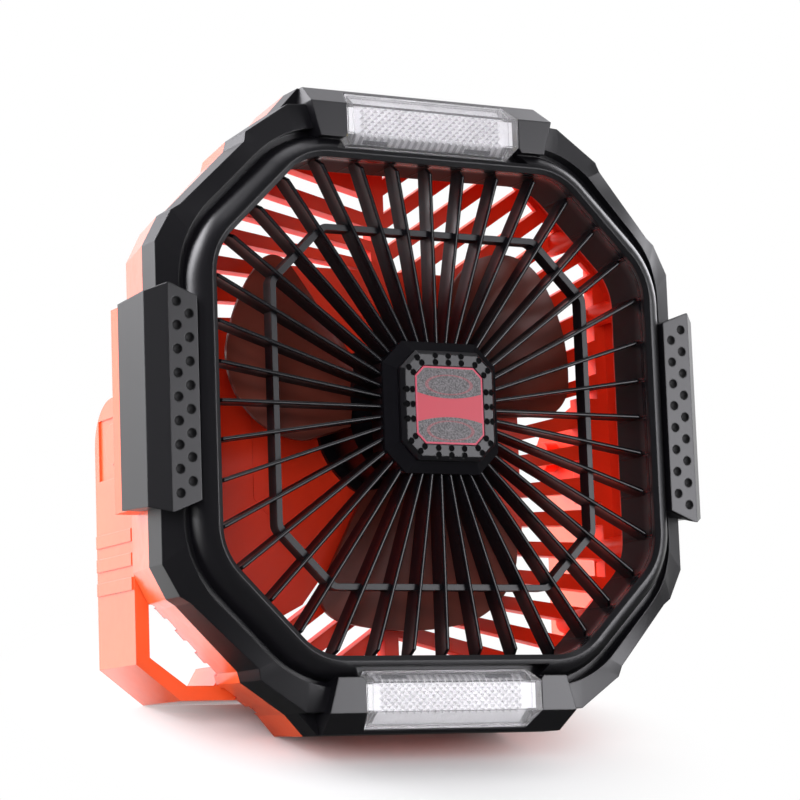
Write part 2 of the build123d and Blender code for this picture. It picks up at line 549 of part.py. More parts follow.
def stand():
    t = ARM_T
    outer = [(STAND_OUT, 20), (STAND_OUT, STAND_FOOT + FOOT_CUT_Z),
             (STAND_OUT - FOOT_CUT_X, STAND_FOOT), (-STAND_OUT + FOOT_CUT_X, STAND_FOOT),
             (-STAND_OUT, STAND_FOOT + FOOT_CUT_Z), (-STAND_OUT, 20)]
    inner = [(ARM_IN, 21), (ARM_IN, STAND_FOOT + FOOT_CUT_Z + 0.45 * t),
             (STAND_OUT - FOOT_CUT_X - 0.45 * t, STAND_FOOT + BAR_T),
             (-STAND_OUT + FOOT_CUT_X + 0.45 * t, STAND_FOOT + BAR_T),
             (-ARM_IN, STAND_FOOT + FOOT_CUT_Z + 0.45 * t), (-ARM_IN, 21)]
    body = slab(outer, STAND_FRONT, STAND_BACK) - slab(inner, STAND_FRONT - 1, STAND_BACK + 1)
    r = (STAND_BACK - STAND_FRONT) / 2
    profile = side([(STAND_FRONT, PIVOT_Z), (STAND_BACK, PIVOT_Z), (STAND_BACK, STAND_FOOT),
                    (STAND_FRONT, STAND_FOOT)], -120, 120)
    profile += bar(r, -120, 120, PIVOT_Y, PIVOT_Z)
    body = body & profile
    grip = [(-GRIP_HALF, STAND_FOOT + BAR_T - 0.5), (GRIP_HALF, STAND_FOOT + BAR_T - 0.5),
            (GRIP_HALF - 5, GRIP_TOP), (-GRIP_HALF + 5, GRIP_TOP)]
    body += slab(grip, GRIP_Y0, GRIP_Y1)
    for z in (-43.5, -52.5, -61.5):
        rib = block(STAND_OUT - 0.5, STAND_OUT + 0.7, STAND_FRONT + 1, STAND_BACK - 1,
                    z - 2.4, z + 2.4)
        body += [rib, other_side(rib)]
    panel = block(STAND_OUT - 0.8, STAND_OUT + 1, STAND_FRONT + 4, STAND_BACK - 4,
                  PIVOT_Z - 13, PIVOT_Z + 10)
    body -= [panel, other_side(panel)]
    bore = (bar(PIN_R + RUN, 0, 120, PIVOT_Y, PIVOT_Z)
            + bar(HEAD_R + GAP, HEAD_SEAT, 120, PIVOT_Y, PIVOT_Z)
            + bar(CAP_R, STAND_OUT - CAP_T, 120, PIVOT_Y, PIVOT_Z))
    bore = bore & block(80, 120, 0, 120, -60, 60)
    body -= [bore, other_side(bore)]
    pocket = block(HOOK_X0 - 4, HOOK_X0 + HOOK_L + 4, HOOK_Y - HOOK_W / 2 - GAP,
                   HOOK_Y + HOOK_W / 2 + GAP, STAND_FOOT - 1, STAND_FOOT + HOOK_T + 1.2)
    body -= pocket
    body -= disc(HOOK_PIN_R, HOOK_Y - HOOK_W / 2 - 4, HOOK_Y + HOOK_W / 2 + 4,
                 HOOK_X0 + HOOK_T / 2, HOOK_AXIS_Z)
    return body


def hook():
    """Flat J hook that lies in the cross bar and swings out about its pin."""
    plan = Plane(origin=(0, 0, HOOK_AXIS_Z - HOOK_T / 2), x_dir=(1, 0, 0), z_dir=(0, 0, 1))
    s, w = HOOK_STOCK, HOOK_W / 2
    r = w
    x1 = HOOK_X0 + HOOK_L - r
    flat = Pos(x1, HOOK_Y) * Circle(r)
    flat += Pos((HOOK_X0 + HOOK_T / 2 + x1) / 2, HOOK_Y) * Rectangle(x1 - HOOK_X0 - HOOK_T / 2,
                                                                      2 * w)
    flat -= Pos(x1, HOOK_Y) * Circle(r - s)
    flat -= Pos((HOOK_X0 + 14 + x1) / 2, HOOK_Y) * Rectangle(x1 - HOOK_X0 - 14, 2 * (w - s))
    flat -= Pos(x1 - 5, HOOK_Y - w) * Rectangle(13, 2 * s + 1)
    body = extrude(plan * flat, HOOK_T, dir=(0, 0, 1))
    body += disc(HOOK_T / 2, HOOK_Y - w, HOOK_Y + w, HOOK_X0 + HOOK_T / 2, HOOK_AXIS_Z)
    return body - disc(HOOK_PIN_R + RUN, HOOK_Y - w - 1, HOOK_Y + w + 1,
                       HOOK_X0 + HOOK_T / 2, HOOK_AXIS_Z)


def hook_pin():
    return disc(HOOK_PIN_R, HOOK_Y - HOOK_W / 2 - 4, HOOK_Y + HOOK_W / 2 + 4,
                HOOK_X0 + HOOK_T / 2, HOOK_AXIS_Z)


# ---- rotor and motor --------------------------------------------------------------------------
CUP_WALL = 1.8
HUB_LIP = 2.5                           # front wall of the cup


def blade_section(r, half_chord, pitch):
    """A thin arched section across the blade at radius r, pitched about the radius."""
    plane = Plane(origin=(r, BLADE_Y, 0), x_dir=(0, sin(radians(pitch)), cos(radians(pitch))),
                  z_dir=(1, 0, 0))
    c, t = half_chord, BLADE_T / 2
    arch = 0.07 * c
    top = ThreePointArc((-c, t), (0, t + arch), (c, t))
    low = ThreePointArc((c, -t), (0, -t + arch), (-c, -t))
    ends = [Line((c, t), (c, -t)), Line((-c, -t), (-c, t))]
    return plane * make_face([top, ends[0], low, ends[1]])


def blade_outline():
    """Front view of a blade round the X axis: a sector with two rounded tip corners."""
    a0, a1, far = radians(BLADE_BACK), radians(BLADE_FRONT), 2 * ROTOR_R
    sector = Polygon((0, 0), (far * cos(a0), -far * sin(a0)), (far * cos(a1), far * sin(a1)),
                     align=None) & Circle(ROTOR_R)
    tips = sorted([v for v in sector.vertices() if hypot(v.X, v.Y) > ROTOR_R - 1],
                  key=lambda v: v.Y)
    sector = fillet(tips[0], BACK_R)
    tips = sorted([v for v in sector.vertices() if hypot(v.X, v.Y) > ROTOR_R - 1],
                  key=lambda v: v.Y)
    return fillet(tips[-1], FRONT_R)


def blade():
    spread = tan(radians(max(BLADE_BACK, BLADE_FRONT) + 2))
    r0, r1, r2 = HUB_R - 1.0, 0.6 * ROTOR_R, ROTOR_R + 2
    pitches = [PITCH_ROOT, (PITCH_ROOT + 2 * PITCH_TIP) / 3, PITCH_TIP]
    sections = [blade_section(r, r * spread, p) for r, p in zip((r0, r1, r2), pitches)]
    return loft(sections) & extrude(front_plane(80) * blade_outline(), 80)


def rotor():
    cup = disc(HUB_R, ROTOR_Y0, ROTOR_Y1) - disc(HUB_R - CUP_WALL, ROTOR_Y0 + HUB_LIP, 80)
    blades = [Rot(0, -(BLADE_START + i * 360 / BLADES), 0) * blade() for i in range(BLADES)]
    body = cup
    for b in blades:
        body += b - disc(HUB_R - CUP_WALL, 0, 80)
    return body - disc(SHAFT_R, 0, 80)


def shaft():
    return disc(SHAFT_R, ROTOR_Y0 - 2, VENT_FRONT - 1.5)


def spinner():
    dome = Pos(0, ROTOR_Y0, 0) * (Sphere(14) & (Pos(0, -10, 0) * Box(40, 20, 40)))
    dome = dome & disc(12, ROTOR_Y0 - 6, ROTOR_Y0)
    return dome - disc(SHAFT_R, ROTOR_Y0 - 2, ROTOR_Y0 + 1)


def magnet_ring():
    r = HUB_R - CUP_WALL
    return (disc(r, ROTOR_Y0 + HUB_LIP + 1, ROTOR_Y1 - 1)
            - disc(r - MAGNET_T, 0, 80))


STATOR_Y0, STATOR_Y1 = ROTOR_Y0 + HUB_LIP + 2.5, ROTOR_Y1 - 3


def stator():
    yoke = disc(TUBE_R + 3.5, STATOR_Y0, STATOR_Y1)
    tooth = block(TUBE_R + 2, STATOR_R - 1, STATOR_Y0, STATOR_Y1, -1.4, 1.4)
    tooth += (disc(STATOR_R, STATOR_Y0, STATOR_Y1) - disc(STATOR_R - 1.6, 0, 80)) & block(
        0, STATOR_R, 0, 80, -5.0, 5.0)
    body = yoke
    for i in range(TEETH):
        body += Rot(0, -i * 360 / TEETH, 0) * tooth
    return body - disc(TUBE_R + 0.02, 0, 80)


def windings():
    coil = (block(TUBE_R + 4.0, STATOR_R - 2.0, STATOR_Y0 - 1.2, STATOR_Y1 + 1.2, -2.6, 2.6)
            - block(0, STATOR_R, STATOR_Y0, STATOR_Y1, -1.4, 1.4))
    return Compound([Rot(0, -i * 360 / TEETH, 0) * coil for i in range(TEETH)])


def bearing():
    return disc(BEARING_R, STATOR_Y0 - 1, VENT_FRONT - 3) - disc(SHAFT_R + RUN, 0, 80)


def motor_mount():
    """Round flange on the front of the closed middle, with the bearing tube on its face."""
    body = disc(MOUNT_R, VENT_FRONT - MOUNT_FLANGE, VENT_FRONT)
    body += disc(WIRE_R, VENT_FRONT, VENT_FRONT + WALL - 0.4)
    body += disc(TUBE_R, STATOR_Y0 - 1, VENT_FRONT)
    body -= disc(WIRE_R - 2, VENT_FRONT, 80)
    body -= disc(BEARING_R, 0, VENT_FRONT - 1)
    return body


# ---- pod: cells, board, cover, controls --------------------------------------------------------
CELL_Y = VENT_FRONT + WALL + 0.6 + CELL_R
HOLDER_Y = CELL_Y + CELL_R
BOARD2_Y = POD_BACK - WALL - 5.0


def cell_zs():
    return [(i - 1.5) * CELL_PITCH for i in range(4)]


def cells():
    return Compound([bar(CELL_R, -CELL_L / 2, CELL_L / 2, CELL_Y, z) for z in cell_zs()])


def holder():
    body = disc(POD_R - WALL - 0.5, CELL_Y, HOLDER_Y + 1.6)
    body = body & block(-39, 39, 0, 100, -42, 42)
    for z in cell_zs():
        body -= bar(CELL_R + 0.02, -CELL_L / 2 - 0.5, CELL_L / 2 + 0.5, CELL_Y, z)
    body -= block(-24, 24, CELL_Y - 1, HOLDER_Y - 3, -60, 60)
    return body


COVER_SCREWS = [(sx * 45.9, sz * 12.3) for sx in (1, -1) for sz in (1, -1)]
COVER_SEAT = POD_BACK - 3.0


def lamp_xs():
    return [(i - 1.5) * LAMP_PITCH for i in range(4)]


def rear_cover():
    edge = 3.0
    body = disc(POD_R, POD_SPLIT, POD_BACK - edge)
    body += loft([front_plane(POD_BACK - edge) * Circle(POD_R),
                  front_plane(POD_BACK) * Circle(POD_R - edge)], ruled=True)
    body -= disc(POD_R - WALL, POD_SPLIT - 1, POD_BACK - WALL)
    for sx in (1, -1):
        for sz in (1, -1):
            body += disc(2.5, BOARD2_Y + BOARD, POD_BACK - 1, sx * 26, sz * 24)
        body -= disc(BUTTON_R + SLIP, POD_BACK - WALL - 1, POD_BACK + 1, sx * BUTTON_X, BUTTON_Z)
        w, h = PORT_W / 2 + 2 * SLIP, PORT_H / 2 + 2 * SLIP
        body -= block(sx * PORT_X - w, sx * PORT_X + w, POD_BACK - WALL - 1, POD_BACK + 1,
                      PORT_Z - h, PORT_Z + h)
    for x in lamp_xs():
        body -= disc(LAMP_R + SLIP, POD_BACK - WALL - 1, POD_BACK + 1, x, LAMP_Z)
    for x, z in COVER_SCREWS:
        body += disc(WELL_R + 1.2, POD_SPLIT, POD_BACK - 1, x, z)
        body -= disc(WELL_R, COVER_SEAT, POD_BACK + 1, x, z)
        body -= disc(SCREW_R + SLIP, POD_SPLIT - 1, POD_BACK, x, z)
    return body


def cover_screws():
    return Compound([disc(SCREW_R - 0.02, POD_SPLIT - 8, COVER_SEAT, x, z)
                     + disc(SCREW_HEAD_R, COVER_SEAT, COVER_SEAT + 2.2, x, z)
                     for x, z in COVER_SCREWS])


def control_board():
    body = block(-30, 30, BOARD2_Y, BOARD2_Y + BOARD, -28, 28)
    for sx in (1, -1):
        body += disc(2.5, BOARD2_Y + BOARD, BUTTON_BACK - BUTTON_STROKE - RUN, sx * BUTTON_X,
                     BUTTON_Z)
    return body


BUTTON_BACK = POD_BACK - WALL - 1.3     # depth of the button's inner end


def button(x):
    return (disc(BUTTON_R, BUTTON_BACK + 0.5, POD_BACK + BUTTON_OUT, x, BUTTON_Z)
            + disc(BUTTON_R + 1.5, BUTTON_BACK, BUTTON_BACK + 1, x, BUTTON_Z))


def port(x):
    return block(x - PORT_W / 2, x + PORT_W / 2, BOARD2_Y + BOARD, POD_BACK - 0.6,
                 PORT_Z - PORT_H / 2, PORT_Z + PORT_H / 2)


def charge_lamps():
    return Compound([disc(LAMP_R, BOARD2_Y + BOARD, POD_BACK - 0.2, x, LAMP_Z)
                     for x in lamp_xs()])


# ---- assembly -----------------------------------------------------------------------------------
LEAN = degrees(atan2(SHELL_Z + STAND_FOOT, STAND_BACK - SHELL_BACK))
FLOOR = -SHELL_BACK * sin(radians(LEAN)) - SHELL_Z * cos(radians(LEAN))


def nodes():
    out = {
        "front_frame": front_frame(),
        "front_grille": grille(),
        "hub_plate": hub_plate(),
        "hub_insert": hub_insert(),
        "bumper_right": bumper(),
        "bumper_left": other_side(bumper()),
        "lens_top": lens(),
        "reflector_top": reflector(),
        "led_board_top": led_board(),
        "led_chips_top": led_chips(),
        "rear_shell": rear_shell(),
        "case_screws": case_screws(),
        "motor_mount": motor_mount(),
        "motor_bearing": bearing(),
        "stator_core": stator(),
        "stator_windings": windings(),
        "fan_rotor": rotor(),
        "rotor_shaft": shaft(),
        "rotor_spinner": spinner(),
        "rotor_magnets": magnet_ring(),
        "battery_cells": cells(),
        "battery_holder": holder(),
        "control_board": control_board(),
        "rear_cover": rear_cover(),
        "fan_button": button(-BUTTON_X),
        "light_button": button(BUTTON_X),
        "charge_port": port(-PORT_X),
        "output_port": port(PORT_X),
        "charge_lamps": charge_lamps(),
        "cover_screws": cover_screws(),
        "stand": stand(),
        "pivot_washers": Compound([washer(), other_side(washer())]),
        "pivot_screws": Compound([pivot_screw(), other_side(pivot_screw())]),
        "pivot_caps": Compound([pivot_cap(), other_side(pivot_cap())]),
        "hook": hook(),
        "hook_pin": hook_pin(),
    }
    for name in ("lens", "reflector", "led_board", "led_chips"):
        out[name + "_bottom"] = upside_down(out[name + "_top"])
    return out


def main():
    os.makedirs("parts", exist_ok=True)
    shapes = nodes()
    lean = Rot(-LEAN, 0, 0)
    leaned = {name: lean * shape for name, shape in shapes.items()}
    boxes = [shape.bounding_box() for shape in leaned.values()]
    y_mid = (min(b.min.Y for b in boxes) + max(b.max.Y for b in boxes)) / 2
    place = Pos(0, -y_mid, -FLOOR)
    for name, shape in leaned.items():
        export_step(place * shape, f"parts/{name}.step")
    print("lean", round(LEAN, 3), "floor", round(FLOOR, 3), "y_mid", round(y_mid, 3))


main()
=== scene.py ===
import json
import math

import bmesh
import bpy
from bpy.props import FloatProperty, FloatVectorProperty, PointerProperty
from mathutils import Matrix, Vector


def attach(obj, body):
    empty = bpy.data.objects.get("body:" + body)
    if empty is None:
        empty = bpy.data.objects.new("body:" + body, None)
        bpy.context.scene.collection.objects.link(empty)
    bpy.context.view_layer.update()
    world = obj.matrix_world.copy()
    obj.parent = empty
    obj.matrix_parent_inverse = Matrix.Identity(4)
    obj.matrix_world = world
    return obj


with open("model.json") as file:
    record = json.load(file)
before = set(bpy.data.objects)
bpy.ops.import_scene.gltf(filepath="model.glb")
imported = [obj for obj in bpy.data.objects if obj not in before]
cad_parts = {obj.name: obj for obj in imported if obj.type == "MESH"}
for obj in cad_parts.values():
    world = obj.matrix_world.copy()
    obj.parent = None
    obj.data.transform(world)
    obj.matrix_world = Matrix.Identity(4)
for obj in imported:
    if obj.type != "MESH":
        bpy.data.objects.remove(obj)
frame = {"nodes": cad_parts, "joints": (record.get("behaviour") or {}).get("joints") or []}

bl_info = {
    "name": "Camping fan",
    "version": (1, 0, 0),
    "blender": (4, 5, 0),
    "location": "3D View > Sidebar > Camping fan",
    "description": "Finishes, small details and a plain studio for a camping fan with lights",
    "category": "Object",
}

# The head of the fan leans back. Details are drawn upright, in millimetres, X right, Y back
# and Z up from the middle of the head's front, and LAY puts them on the leaning head.
SPIN = next(joint for joint in frame["joints"] if joint["name"] == "rotor_spin")
BACK = Vector(SPIN["axis"])
UP = Vector((1, 0, 0)).cross(BACK)
SPIN_DEPTH = 0.036                     # metres from the head's front to the joint
MM = 0.001
LAY = (Matrix.Translation(Vector(SPIN["pos_m"]) - BACK * SPIN_DEPTH)
       @ Matrix((Vector((1, 0, 0)), BACK, UP)).transposed().to_4x4() @ Matrix.Scale(MM, 4))
UPRIGHT = LAY.inverted()
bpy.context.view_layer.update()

# Forms of the details, in millimetres.
SPOKES = 40
SPOKE_R = 0.72                         # half the width over which a spoke's front is rounded
SHADE_DEPTHS = (5.0, 9.0)              # the grille gets duller between these depths
SUNK_DEPTHS = (1.0, 3.5)               # and the front frame between these
TO_FRONT = (0.80, 0.97)                # how squarely a face of the frame looks to the front
CUP_R = 26.4                           # radius inside which the rotor is black
# Rings of the hub's collar, front to back: half width, half height, cut corner, depth.
COLLAR = ((19.4, 20.0, 6.6, -0.35), (24.1, 24.7, 8.5, 3.2), (24.1, 24.7, 8.5, 4.4))
# Dimples in one quarter of the hub plate, and the radii of a hollow and of the dark disc of
# painted shade laid over it.
DIMPLES = ((0, 18.6), (5.5, 18.6), (0, 16.0), (5.5, 16.0), (18.0, 0), (18.0, 5.5),
           (15.6, 0), (15.6, 5.5), (16.8, 13.7), (13.1, 17.4), (15.0, 11.9), (11.3, 15.6))
DIMPLE_R, DISC_R, DISC_LIFT = 1.25, 1.0, 0.03
STUD_BAND = (100.2, 110.7)             # how far out the hollows of the bumpers lie
STUD_EDGE, STUD_BOTTOM = (0.85, 1.15), 3.0   # and from where to where shade is painted in them
LENS_FLAT, LENS_EDGE = (101.5, 112.6), (97.2, 118.4)   # heights of a lens's facets
LENS_END, LENS_MARGIN = 7.5, 0.9       # what the prisms leave free at the ends and edges
PRISM_DEPTH, PRISM_TALL = 2.7, 2.6     # depth of the sheet of prisms, height of one prism
# The sheet's edges fold back to these depths and heights. The folds and the plain back
# reach past the ends of the prisms, and the back lies a little behind them.
PRISM_FOLDS = ((7.4, LENS_EDGE[0] + 2.2), (8.6, LENS_EDGE[1] - 2.4))
FOLD_OVERHANG, BACK_OVERHANG, BACK_GAP = 2, 6, 0.05
SLOT_SPANS = ((-28.0, -17.6), (15.6, 27.0))
SLOT_EDGES = ((5.0, 100.7), (6.2, 99.5))   # depth and height of a slot's long edges
BADGE = (14.3, 14.5, 3.7)              # half width, half height and corner of the badge
DIAGONAL = 0.7071                      # turns a cut corner's offset into a distance
BAND_LOW, BAND_HALF, BAND_BULGE = 0.9, 3.5, 0.0105     # red band: how low, tall and curved
OVAL_UP, OVAL_HALF, OVAL_LINE = 8.6, (9.5, 3.6), 0.07  # faint oval in each field
# Closed panel inside the vents: outline, front and back.
BLANK = ((-73, 36), (-57, 36), (-57, -30), (-30, -60), (-38, -70), (-46, -74), (-60, -70),
         (-73, -60))
BLANK_DEPTHS = (47.2, 47.95)
BUTTON_RING, BUTTON_RING_HALF = 5.4, 0.25              # a button's ring and its half width
LOBE_R, BULB_R, BEAM_R, BEAM_HALF = 3.4, 1.4, 2.7, 0.7     # the marks on the buttons
CROSS_LONG, CROSS_WIDE = 2.4, 0.6      # recess in the head of a screw
PORT_RIM, TONGUE_RIM, TONGUE_TALL = 1.2, 3.0, 0.8      # what mouth and tongue leave free
RAISED, RAISED_MORE, BAR_DEPTH = 0.02, 0.06, 0.05      # thin bars stand this far out
SCREW_END = 0.05                       # what lies this near a screw's end belongs to it

# Surfaces, in metres.
FINE = 0.00001                         # depth of the grain of smooth plastic
SHARP = 0.00005                        # edge rounding of very small pieces
SOFT = 0.0003                          # edge rounding of thin mouldings
SPECK, SPECK_FADE = 0.0006, (0.42, 0.58)     # size and sharpness of the badge's specks
# A face of the shell is judged by its distance from the shell's middle, measured along its
# own normal: the inside is nearest, the outer sides are farthest.
SHELL_MIDDLE = LAY @ Vector((0, 30.0, 0))
SHELL_OUTSIDE, SHELL_SIDES = (0.012, 0.02), (0.088, 0.098)

WHITE, COOL, BLACK = (1.0, 1.0, 1.0), (0.965, 0.955, 1.0), (0.0, 0.0, 0.0)

# Studio, in metres and radians. Lamps: name, size and place.
TARGET = Vector((0, 0, 0.12))
LAMPS = (("back", 1.5, (-1.25, 1.15, 0.75)), ("front", 1.4, (1.38, -1.33, 0.46)),
         ("right", 1.2, (1.55, 0.95, 0.75)), ("top", 1.2, (0.1, 0.3, 1.8)),
         ("fill", 0.9, (-1.1, -1.3, 1.0)))
CAMERA_PLACE = (-0.52606, -0.94271, 0.32704)
CAMERA_TURN = (1.385134, -0.139886, -0.479028)
SENSOR = 36.0                          # millimetres
FLOOR_SIZE = 6.0
FLOOR_FADE = (0.03, 0.145)             # the floor turns white between these distances
FLOOR_GLOSS = (0.005, 0.03)            # gloss sees a bright floor behind this depth
SKY_GLOSS = (-0.1, 0.5)                # and bright surroundings behind this direction


# ---- sizes and colours that a user would change ------------------------------------------
def colour_property(name, description, default):
    return FloatVectorProperty(name=name, description=description, default=default, size=3,
                               subtype="COLOR", min=0.0, max=1.0)


def length_property(name, description, default):
    return FloatProperty(name=name, description=description, default=default, min=0.0,
                         unit="LENGTH", subtype="DISTANCE", precision=5)


def level_property(name, description, default):
    return FloatProperty(name=name, description=description, default=default, min=0)


class CampingFanColours(bpy.types.PropertyGroup):
    """Colours of the mouldings"""

    case: colour_property("Case", "Front frame, grille and rear cover",
                          (0.0048, 0.0045, 0.0060))
    rubber: colour_property("Bumpers", "Rubber bumpers", (0.0050, 0.0048, 0.0060))
    shell: colour_property("Shell", "Rear shell and stand", (0.90, 0.105, 0.022))
    # Painted shade: the inside of the shell is painted a deeper red for the shade it lies in.
    shell_inside_shade: colour_property("Shell inside", "Inside of the rear shell",
                                  (0.92, 0.045, 0.014))
    blades: colour_property("Blades", "Translucent rotor", (0.22, 0.05, 0.032))
    lens: colour_property("Lens", "Light bar lenses", (0.95, 0.94, 0.96))
    badge: colour_property("Badge", "Band of the hub badge", (0.42, 0.020, 0.042))
    badge_edge: colour_property("Badge border", "Border of the hub badge", (0.46, 0.035, 0.075))
    badge_field: colour_property("Badge field", "Fields of the badge", (0.013, 0.012, 0.013))
    badge_speck: colour_property("Badge specks", "Specks on the fields", (0.125, 0.112, 0.118))


class CampingFanSizes(bpy.types.PropertyGroup):
    """Sizes of the small details"""

    grain: length_property("Grain", "Size of the moulded surface grain", 0.0006)
    edge: length_property("Edge rounding", "Rounding of the moulded edges", 0.0006)
    prism_pitch: length_property("Prism pitch", "Width of one prism of a lens", 0.0029)
    prism_height: length_property("Prism height", "Height of the prisms", 0.0012)
    badge_border: length_property("Badge border", "Width of the badge's border", 0.0007)
    dimple: length_property("Dimple depth", "Depth of the dimples round the badge", 0.0009)


class CampingFanStudio(bpy.types.PropertyGroup):
    """Camera, floor and lights"""

    focal: FloatProperty(name="Focal length", description="Focal length on a 36 mm sensor",
                         default=130.08, min=20, unit="CAMERA")
    floor: colour_property("Floor", "Plain pale floor and backdrop", (0.90, 0.90, 0.90))
    back: level_property("Back light", "Power of the light behind on the left, W", 62.0)
    front: level_property("Front light", "Power of the light at the front right, W", 35.0)
    right: level_property("Right light", "Power of the light on the right, W", 16.0)
    top: level_property("Top light", "Power of the light above, W", 5.0)
    fill: level_property("Fill light", "Power of the soft light that fills the opening, W",
                         24.0)
    sky: level_property("Surroundings", "Strength of the even light", 0.40)
    dark: level_property("Dark side", "What gloss reflects from the front", 0.05)


def colours():
    return bpy.context.scene.camping_fan_colours


def sizes():
    return bpy.context.scene.camping_fan_sizes


def studio():
    return bpy.context.scene.camping_fan_studio


# ---- finishes -----------------------------------------------------------------------------
class Graph:
    """A node tree to which nodes are added one by one."""

    def __init__(self, tree):
        self.nodes, self.links = tree.nodes, tree.links

    def set(self, node, socket, value):
        """Feeds a socket, given by name or number, from another socket or a constant."""
        target = node.inputs[socket]
        if isinstance(value, bpy.types.NodeSocket):
            self.links.new(value, target)
        elif target.type == "RGBA":
            target.default_value = (*value, 1.0)
        else:
            target.default_value = value

    def feed(self, node, **inputs):
        for socket, value in inputs.items():
            self.set(node, socket.replace("_", " "), value)

    def wire(self, node, *values):
        """Feeds the first sockets of a node in their order."""
        for index, value in enumerate(values):
            self.set(node, index, value)
        return node.outputs

    def add(self, kind, settings=None, **inputs):
        node = self.nodes.new("ShaderNode" + kind)
        for key, value in (settings or {}).items():
            setattr(node, key, value)
        self.feed(node, **inputs)
        return node

    def calc(self, operation, *values):
        return self.wire(self.add("Math", {"operation": operation}), *values)[0]

    def vector(self, operation, *values):
        return self.wire(self.add("VectorMath", {"operation": operation}), *values)

    def parts(self, vector):
        return self.add("SeparateXYZ", Vector=vector).outputs

    def spread(self, value, low, high, start=0.3, end=0.7, shape="LINEAR"):
        """Turns the range from start to end into the range from low to high."""
        node = self.add("MapRange", {"interpolation_type": shape}, Value=value,
                        From_Min=start, From_Max=end, To_Min=low, To_Max=high)
        return node.outputs["Result"]

    def ramp(self, value, start=0.3, end=0.7, shape="LINEAR"):
        """0 up to start and 1 from end on."""
        return self.spread(value, 0.0, 1.0, start, end, shape)

    def chain(self, operation, first, *others):
        for other in others:
            first = self.calc(operation, first, other)
        return first

    def product(self, *values):
        return self.chain("MULTIPLY", *values)

    def squares(self, x, z):
        return self.calc("ADD", self.product(x, x), self.product(z, z))

    def radius(self, x, z):
        return self.calc("SQRT", self.squares(x, z))

    def dome(self, square, radius):
        """Height of a round of this radius at a squared distance from its middle."""
        return self.calc("SQRT", self.calc("MAXIMUM", self.calc(
            "SUBTRACT", radius ** 2, square), 0.0))

    def near(self, value, middle, half):
        """1 where the value lies within half of the middle."""
        return self.calc("LESS_THAN", self.calc("ABSOLUTE", self.calc(
            "SUBTRACT", value, middle)), half)

    def cover(self, amount, under, over):
        """Lays one shader over another."""
        return self.wire(self.add("MixShader"), amount, under, over)[0]


class Finish(Graph):
    """The nodes of one material."""

    def __init__(self, name, **sockets):
        self.material = bpy.data.materials.new(name)
        self.material.use_nodes = True
        super().__init__(self.material.node_tree)
        self.shader = self.nodes["Principled BSDF"]
        self.look(**sockets)
        self.places = self.add("TexCoord").outputs
        self.where = self.places["Object"]

    def look(self, **sockets):
        self.feed(self.shader, **sockets)

    def noise(self, size, detail=2.0, roughness=0.5):
        node = self.add("TexNoise", Vector=self.where, Scale=1.0 / size, Detail=detail,
                        Roughness=roughness)
        return node.outputs["Fac"]

    def upright(self):
        """Coordinates in the head's own upright frame, in millimetres."""
        place, turn, scale = UPRIGHT.decompose()
        node = self.add("Mapping", Vector=self.where, Location=place,
                        Rotation=turn.to_euler(), Scale=scale)
        return self.parts(node.outputs["Vector"])

    def facing(self, direction):
        """The surface's normal measured along a direction."""
        return self.vector("DOT_PRODUCT", self.places["Normal"], direction)["Value"]

    def blend(self, factor, first, second):
        node = self.add("Mix", {"data_type": "RGBA"})
        for slot, value in ((0, factor), (6, first), (7, second)):
            self.set(node, slot, value)
        return node.outputs[2]

    def paint(self, colour):
        """Sets the base colour and keeps it for what is painted over it."""
        self.tint = colour
        self.look(Base_Color=colour)

    def rounded(self, radius):
        """Rounds the edges, as light sees them."""
        self.soft = self.add("Bevel", {"samples": 4}, Radius=radius).outputs["Normal"]
        self.look(Normal=self.soft)

    def relief(self, height, depth, strength=1.0):
        """Adds a relief to the rounded surface."""
        self.soft = self.add("Bump", Height=height, Distance=depth, Strength=strength,
                             Normal=self.soft).outputs["Normal"]
        self.look(Normal=self.soft)

    def paint_hollow_shade(self, mask, share, outside=0.36, inside=0.75):
        """Paints shade into the base colour, taking most of the light out of what the mask
        covers, as in a small hollow.
        """
        self.paint(self.blend(self.product(mask, share), self.tint, BLACK))
        self.look(Roughness=self.spread(mask, outside, inside, 0.0, 1.0))

    def hollow(self, square, radius, size):
        """Round hollows where a squared distance in millimetres is below the radius: a relief,
        with painted shade in them.
        """
        depth = self.dome(square, radius)
        self.paint_hollow_shade(self.ramp(depth, 0.0, 0.4 * radius), share=0.9)
        self.relief(self.product(depth, -1.0), size)


def shade(colour, factor):
    return tuple(min(1.0, channel * factor) for channel in colour)


def grey(level):
    return (level, level, level)


def moulded(name, colour, roughness=None, grain_depth=0.00002, edge=None, **sockets):
    """Moulded plastic: a fine grain, slight flow marks and softly rounded edges.

    Without a roughness, the caller sets it.
    """
    finish = Finish(name, **sockets)
    flow = finish.ramp(finish.noise(0.05, detail=3.0))
    finish.paint(finish.blend(flow, shade(colour, 0.90), shade(colour, 1.10)))
    if roughness is not None:
        patches = finish.noise(0.012, detail=4.0, roughness=0.6)
        finish.look(Roughness=finish.spread(patches, roughness - 0.05, roughness + 0.06))
    finish.rounded(sizes().edge if edge is None else edge)
    finish.relief(finish.noise(sizes().grain, roughness=0.6), grain_depth, 0.5)
    return finish


def metal(name, colour, roughness):
    """Plain metal with fine brushing and a few dull patches."""
    finish = Finish(name, Metallic=1.0)
    dull = finish.noise(0.004, detail=4.0)
    finish.paint(finish.blend(finish.ramp(dull), shade(colour, 0.8), colour))
    finish.look(Roughness=finish.spread(dull, roughness - 0.06, roughness + 0.1))
    finish.rounded(0.0002)
    finish.relief(finish.noise(0.0002, detail=1.0), FINE, 0.4)
    return finish


